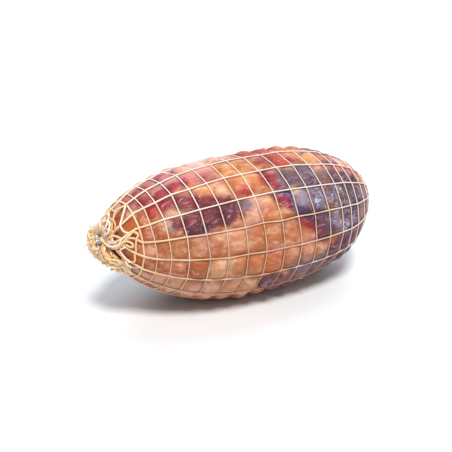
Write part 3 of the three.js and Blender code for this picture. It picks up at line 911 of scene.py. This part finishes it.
def make_gather(neck, name, routes, material):
    side, loops, cut_ends = neck["side"], neck["loops"], neck["cut_ends"]
    tubes = [knitted_route(smooth_route(on_skin(route, side)), LOOP_SIZE) for route in routes]
    for k in range(loops):
        cord = (k + rng.uniform(0.1, 0.9)) * CORDS_ALONG / loops
        tubes.append(knitted_route(smooth_route(random_loop(side, cord)), LOOP_SIZE))
    for _ in range(neck["skirt"]):
        path = crimped(smooth_route(skirt_strand()), *SKIRT_CRIMPS)
        tubes.append(knitted_route(path, SKIRT_SIZE, CUT_KNIT))
    for k in range(NECK_STRANDS):
        path = smooth_route(neck_strand(neck, 360 * k / NECK_STRANDS), STRAND_STEPS)
        tubes.append(knitted_route(path, CUT_END_SIZE, CUT_KNIT))
    for k in range(cut_ends):
        degrees = 360 * (k + rng.uniform(-0.4, 0.4)) / cut_ends
        path = crimped(smooth_route(cut_end(neck, degrees), CUT_END_STEPS), *CUT_END_CRIMPS)
        tubes.append(knitted_route(path, CUT_END_SIZE, CUT_KNIT))
    make_net_piece(name, tubes, [pick_tint() for _ in tubes], material)


def make_frizz(material):
    tubes = []
    for neck in (TIED_NECK, BLUNT_NECK):
        fibres = [frizz_fibre(neck) for _ in range(neck["frizz"])]
        tubes += [plain_tube(fibre, FRIZZ_RADIUS, FRIZZ_STEPS, FRIZZ_SIDES) for fibre in fibres]
    tints = [srgb(FRIZZ_TINT)] * len(tubes) + [srgb(THREAD_TINT)]
    tubes.append(plain_tube(tied_thread(), THREAD_RADIUS, THREAD_STEPS, THREAD_SIDES))
    make_net_piece("net_frizz", tubes, tints, material)


# ---- The crimped clips

CLIP_LENGTH = 5.6 * MM
CLIP_WALL = 0.9 * MM
CLIP_SIDES = 40
CLIP_ROWS = 9
CLIP_SQUARENESS = 3.2
CLIP_EDGE_DEPTH = 0.16
CLIP_WAIST_DEPTH = 0.05
CLIP_WAIST_WIDTH = 0.3
CLIP_SEAM_DEPTH = 0.1
CLIP_SEAM_WIDTH = 0.12
CLIP_SEAM_ANGLE = 1.5 * math.pi
CLIP_BRIGHT, CLIP_DULL = "c9cdd6", "8f97a8"


def make_clip(name, node, material):
    """A band bent round the neck: rounded edges, a pressed waist and a seam where its ends meet."""
    low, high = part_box(node)
    centre = (low + high) / 2
    width, height = (high.y - low.y) / 2, (high.z - low.z) / 2
    profile = []
    for k in range(CLIP_ROWS):
        t = k / (CLIP_ROWS - 1) * 2 - 1
        edge = CLIP_EDGE_DEPTH * (1 - math.sqrt(max(0, 1 - abs(t) ** 4)))
        waist = CLIP_WAIST_DEPTH * math.exp(-((t / CLIP_WAIST_WIDTH) ** 2))
        profile.append((t * CLIP_LENGTH / 2, 1 - edge - waist))
    profile += [(x, 1 - 2 * CLIP_WALL / (width + height)) for x, _ in reversed(profile)]
    points = []
    for j in range(CLIP_SIDES):
        angle = 2 * math.pi * j / CLIP_SIDES
        across, up = math.cos(angle), math.sin(angle)
        power = CLIP_SQUARENESS
        square = 1 / (abs(across) ** power + abs(up) ** power) ** (1 / power)
        off_seam = (angle - CLIP_SEAM_ANGLE) / CLIP_SEAM_WIDTH
        seam = 1 - CLIP_SEAM_DEPTH * math.exp(-(off_seam**2))
        for x, share in profile:
            points.append([centre.x + x, centre.y + across * width * square * share * seam,
                           centre.z + up * height * square * share * seam])
    faces = grid_faces(CLIP_SIDES, len(profile), closed=True)
    obj = add_mesh(name, np.array(points), faces)
    finish_piece(obj, material, node)


# ---- Materials

def connect(node, inputs):
    """Links each input to the output that is given for it, or sets it to the given value."""
    for name, value in inputs.items():
        if isinstance(value, bpy.types.NodeSocket):
            node.id_data.links.new(value, node.inputs[name])
        else:
            node.inputs[name].default_value = value


def add_node(kind, inputs, tree=None, **settings):
    """A new node, in the tree that its linked inputs come from if none is given."""
    linked = (value for value in inputs.values() if isinstance(value, bpy.types.NodeSocket))
    tree = tree or next(linked).id_data
    node = tree.nodes.new("ShaderNode" + kind)
    for name, value in settings.items():
        setattr(node, name, value)
    connect(node, inputs)
    return node


def mix_color(factor, a, b, blend="MIX"):
    a, b = ((*value, 1) if isinstance(value, tuple) else value for value in (a, b))
    settings = {"data_type": "RGBA", "blend_type": blend}
    return add_node("Mix", {0: factor, 6: a, 7: b}, **settings).outputs[2]


def math_node(operation, a, b):
    return add_node("Math", {0: a, 1: b}, operation=operation).outputs[0]


def plus(a, b):
    return math_node("ADD", a, b)


def times(a, b):
    return math_node("MULTIPLY", a, b)


def noise_node(vector, scale, detail, roughness, distortion=0):
    return add_node("TexNoise", {
        "Vector": vector, "Scale": scale, "Detail": detail,
        "Roughness": roughness, "Distortion": distortion,
    }).outputs["Fac"]


def map_range(value, low, high, to_low=0, to_high=1):
    return add_node("MapRange", {
        "Value": value, "From Min": low, "From Max": high, "To Min": to_low, "To Max": to_high,
    }, interpolation_type="SMOOTHSTEP").outputs["Result"]


def bump(height, strength, distance):
    inputs = {"Height": height, "Strength": strength, "Distance": distance}
    return add_node("Bump", inputs).outputs[0]


def new_material(name):
    material = bpy.data.materials.new(name)
    material.use_nodes = True
    tree = material.node_tree
    tree.nodes.clear()
    shader = add_node("BsdfPrincipled", {}, tree)
    add_node("OutputMaterial", {"Surface": shader.outputs[0]})
    return material, tree, shader


def attribute(tree, name):
    return add_node("Attribute", {}, tree, attribute_name=name).outputs["Color"]


def object_place(tree, stretch=(1, 1, 1), offset=(0, 0, 0)):
    coords = add_node("TexCoord", {}, tree).outputs["Object"]
    values = {"Vector": coords, "Scale": stretch, "Location": offset}
    return add_node("Mapping", values).outputs["Vector"]


# Blotches on the meat: offset and scale of the noise, its detail, where they start and are full, how
# strong they are, their tint on rind and fat, and what they multiply the lean's colour by. Gains above
# 1 lighten the lean in pale flecks, partly fat and partly painted sheen highlights.
BLOTCHES = [
    ((0, 0, 0), 42, 5, 0.47, 0.63, 0.6, "be5e2c", (1.25, 0.75, 0.8)),
    ((3.1, 0, 0), 50, 5, 0.48, 0.66, 0.65, "dca494", (1.2, 1.4, 1.4)),
    ((0, 5.2, 0), 85, 7, 0.49, 0.66, 0.45, "9c4628", (0.55, 0.5, 0.65)),
    ((0, 0, 7.3), 90, 7, 0.5, 0.68, 0.6, "ecc49c", (1.5, 2.2, 2.1)),
    ((2.7, 1.1, 0), 170, 7, 0.5, 0.7, 0.5, "ca7038", (1.3, 0.9, 0.95)),
    ((4.3, 0, 2.2), 240, 6, 0.52, 0.68, 0.3, "84422c", (0.5, 0.4, 0.5)),
]
BLOTCH_STRETCH = (0.6, 1, 1)
FIBRE_STRETCH = (0.35, 1, 1)
DARK_STREAK_GAIN = (0.6, 0.42, 0.42)
# Pale streaks: fibres on the fat, and painted sheen highlights on the lean.
FAT_STREAK, LEAN_SHEEN = "f0c89c", "e0b0ae"
MOULD_WRINKLE, MOULD_TAN, MOULD_GREY, MOULD_BLOOM = "443044", "a49682", "8880a0", "d6d0da"


def blotched(tree, color, lean):
    """Blotches over the colour, a little calmer on the rind and fat than in the lean, where the pale
    ones are partly painted sheen highlights.
    """
    calm = map_range(lean, 0, 1, 0.85, 1)
    for offset, scale, detail, low, high, amount, rind_tint, lean_gain in BLOTCHES:
        blotch = noise_node(object_place(tree, BLOTCH_STRETCH, offset), scale, detail, 0.62, 0.25)
        share = times(map_range(blotch, low, high, 0, amount), calm)
        lean_tint = mix_color(1, color, lean_gain, "MULTIPLY")
        color = mix_color(share, color, mix_color(lean, srgb(rind_tint), lean_tint))
    return color


def streaked(tree, color, lean):
    """Fibres that lie along the ham, dark ones and pale ones; the pale ones are palest in the lean,
    where they are painted sheen highlights.
    """
    streaks = noise_node(object_place(tree, FIBRE_STRETCH, (5, 0, 0)), 150, 6, 0.62, 1.4)
    dark = map_range(streaks, 0.47, 0.34, 0, 0.35)
    color = mix_color(dark, color, mix_color(1, color, DARK_STREAK_GAIN, "MULTIPLY"))
    # Pale streaks, which are painted sheen highlights where they cross the lean.
    pale = map_range(streaks, 0.53, 0.68)
    amount = times(pale, map_range(lean, 0, 1, 0.18, 0.42))
    return mix_color(amount, color, mix_color(lean, srgb(FAT_STREAK), srgb(LEAN_SHEEN)))


def moulded(color, mould, place):
    """Mould over the colour: dark wrinkles, grey crust and then white bloom as it gets thicker."""
    wrinkles = noise_node(place, 300, 8, 0.75, 1.6)
    drift = noise_node(place, 75, 3, 0.6)
    level = plus(plus(wrinkles, times(drift, 0.35)), times(mould, 0.12))
    shown = map_range(mould, 0.08, 0.4)
    dark = times(map_range(level, 0.82, 0.73), shown)
    color = mix_color(times(dark, 0.8), color, srgb(MOULD_WRINKLE))
    grey = times(map_range(level, 0.73, 0.81), shown)
    tone = mix_color(map_range(drift, 0.42, 0.56), srgb(MOULD_TAN), srgb(MOULD_GREY))
    color = mix_color(times(grey, 0.8), color, tone)
    white = times(map_range(level, 0.84, 0.95), shown)
    return mix_color(white, color, srgb(MOULD_BLOOM)), math_node("MAXIMUM", grey, white)


def meat_material():
    material, tree, shader = new_material("cured_meat")
    fibres = object_place(tree, FIBRE_STRETCH)
    masks = add_node("SeparateColor", {"Color": attribute(tree, "masks")})
    mould, openness, lean = masks.outputs
    color = streaked(tree, blotched(tree, attribute(tree, "paint"), lean), lean)
    color, crust = moulded(color, mould, object_place(tree))
    # Painted shade: the meat's colour is darkened in the grooves beside the cords, more in the lean.
    groove_shade = math_node("SUBTRACT", 0.92, times(lean, 0.3))
    shade = map_range(openness, 0, 0.5, groove_shade, 1)
    grey = add_node("CombineColor", {"Red": shade, "Green": shade, "Blue": shade})
    mottle = noise_node(fibres, 150, 6, 0.65, 0.4)
    fleck = noise_node(fibres, 420, 4, 0.7, 1.0)
    rough = map_range(mottle, 0.35, 0.65, 0.58, 0.42)
    rough = math_node("SUBTRACT", rough, times(lean, 0.08))
    coarse = times(mottle, map_range(lean, 0, 1, 0.55, 1))
    fine = times(fleck, map_range(lean, 0, 1, 0.35, 0.8))
    raised_crust = times(crust, 0.35)
    height = plus(plus(coarse, fine), raised_crust)
    connect(shader, {
        "Base Color": mix_color(1, color, grey.outputs[0], "MULTIPLY"),
        "Roughness": plus(rough, raised_crust),
        "Specular IOR Level": 0.3,
        "Subsurface Weight": 0.15,
        "Subsurface Radius": (1, 0.35, 0.2),
        "Subsurface Scale": 0.004,
        "Normal": bump(height, 0.7, 1.5 * MM),
    })
    return material


# The yarn's tints: stained by the meat, a painted highlight on top, at the tied end, at the blunt end,
# between fibres.
STAINED, TOP_HIGHLIGHT, WARM, COOL, FIBRE_SHADE = "ca9a74", "f6e6da", "fcd088", "ead8d0", "9a6844"


def yarn_material():
    """Cream yarn, stained by the meat: warm at the tied end and tan below, with a painted highlight
    that whitens it on top.
    """
    material, tree, shader = new_material("net_yarn")
    place = object_place(tree)
    along, _, height = add_node("SeparateXYZ", {"Vector": place}).outputs
    # Painted highlight: the yarn is whitened from 95 to 135 mm up, and its stain is left off there.
    top = map_range(height, 95 * MM, 135 * MM)
    stain = map_range(noise_node(place, 40, 3, 0.6), 0.32, 0.6, 0.45, 0.9)
    stain = times(stain, math_node("SUBTRACT", 1, top))
    stain = times(stain, map_range(along, -150 * MM, -110 * MM, 0.35, 1))
    fibre = noise_node(place, 1800, 2, 0.6)
    color = attribute(tree, "tint")
    for share, tint in (
        (stain, STAINED),
        (times(top, 0.35), TOP_HIGHLIGHT),
        (map_range(along, -70 * MM, -130 * MM, 0, 0.3), WARM),
        (map_range(along, 50 * MM, 120 * MM, 0, 0.7), COOL),
        (map_range(fibre, 0.3, 0.6, 0.25, 0), FIBRE_SHADE),
    ):
        color = mix_color(share, color, srgb(tint))
    connect(shader, {
        "Base Color": color, "Roughness": 0.8, "Sheen Weight": 0.3,
        "Normal": bump(fibre, 0.4, 0.3 * MM),
    })
    return material


def clip_material():
    material, tree, shader = new_material("clip_metal")
    scuff = noise_node(object_place(tree), 900, 4, 0.7)
    dull = map_range(scuff, 0.4, 0.65)
    connect(shader, {
        "Base Color": mix_color(dull, srgb(CLIP_BRIGHT), srgb(CLIP_DULL)),
        "Roughness": map_range(scuff, 0.35, 0.7, 0.22, 0.45),
        "Metallic": 1,
        "Normal": bump(scuff, 0.3, 0.3 * MM),
    })
    return material


# ---- Studio

CAMERA_AZIMUTH = math.radians(-31.2)
CAMERA_ELEVATION = math.radians(22)
CAMERA_DISTANCE = 1.1
CAMERA_LENS = 81.04
AIM = (-20.2 * MM, 0, 72.65 * MM)

FLOOR_HALF_SIZE = 6.0
FLOOR_TONE = (0.74, 0.74, 0.74, 1)
SKY_TONE = (0.9, 0.95, 1, 1)
SKY_STRENGTH = 0.4

# Wide softboxes far away: name, direction, strength, width in degrees, colour.
LIGHTS = [
    ("key_softbox", (-0.16, -0.52, 1), 3.3, 18, (1, 1, 1)),
    ("back_softbox", (0.45, 0.7, 0.9), 2, 60, (0.84, 0.93, 1)),
]


def facing(direction):
    return Vector(direction).to_track_quat("Z", "Y").to_euler()


def add_camera():
    level = math.cos(CAMERA_ELEVATION)
    back = Vector((math.sin(CAMERA_AZIMUTH) * level, -math.cos(CAMERA_AZIMUTH) * level,
                   math.sin(CAMERA_ELEVATION)))
    data = bpy.data.cameras.new("camera")
    data.lens = CAMERA_LENS
    camera = add_object("camera", data)
    camera.location = Vector(ORIGIN + AIM) + back * CAMERA_DISTANCE
    camera.rotation_euler = facing(back)
    bpy.context.scene.camera = camera


def add_lights():
    for name, direction, strength, width, color in LIGHTS:
        data = bpy.data.lights.new(name, "SUN")
        data.energy = strength
        data.color = color
        data.angle = math.radians(width)
        add_object(name, data).rotation_euler = facing(direction)


def add_floor():
    corners = np.array([[-1, -1, 0], [1, -1, 0], [1, 1, 0], [-1, 1, 0]]) * FLOOR_HALF_SIZE
    floor = add_mesh("floor", corners, [[0, 1, 2, 3]])
    material, _, shader = new_material("studio_floor")
    connect(shader, {"Base Color": FLOOR_TONE, "Roughness": 0.9, "Specular IOR Level": 0})
    floor.data.materials.append(material)


def add_sky():
    """A faintly blue even light, behind which the picture's background stays white."""
    world = bpy.data.worlds.new("studio")
    world.use_nodes = True
    tree = world.node_tree
    lighting = tree.nodes["Background"]
    connect(lighting, {"Color": SKY_TONE, "Strength": SKY_STRENGTH})
    backdrop = add_node("Background", {"Color": (1, 1, 1, 1), "Strength": 1}, tree)
    seen = add_node("LightPath", {}, tree).outputs["Is Camera Ray"]
    mixed = add_node("MixShader", {0: seen, 1: lighting.outputs[0], 2: backdrop.outputs[0]})
    connect(tree.nodes["World Output"], {"Surface": mixed.outputs[0]})
    bpy.context.scene.world = world


def main():
    bpy.context.scene.view_settings.view_transform = "Standard"
    add_camera()
    add_sky()
    add_lights()
    add_floor()
    meat = meat_material()
    yarn = yarn_material()
    make_ham(meat)
    arcs, cords = crossing_places()
    make_cords(arcs, cords, yarn)
    make_rings(arcs, cords, yarn)
    make_gather(TIED_NECK, "net_tied_end", TIED_LOOPS, yarn)
    make_gather(BLUNT_NECK, "net_blunt_end", [], yarn)
    make_frizz(yarn)
    metal = clip_material()
    make_clip("clip_band", "clip", metal)
    make_clip("clip_band_far", "clip_far", metal)


main()
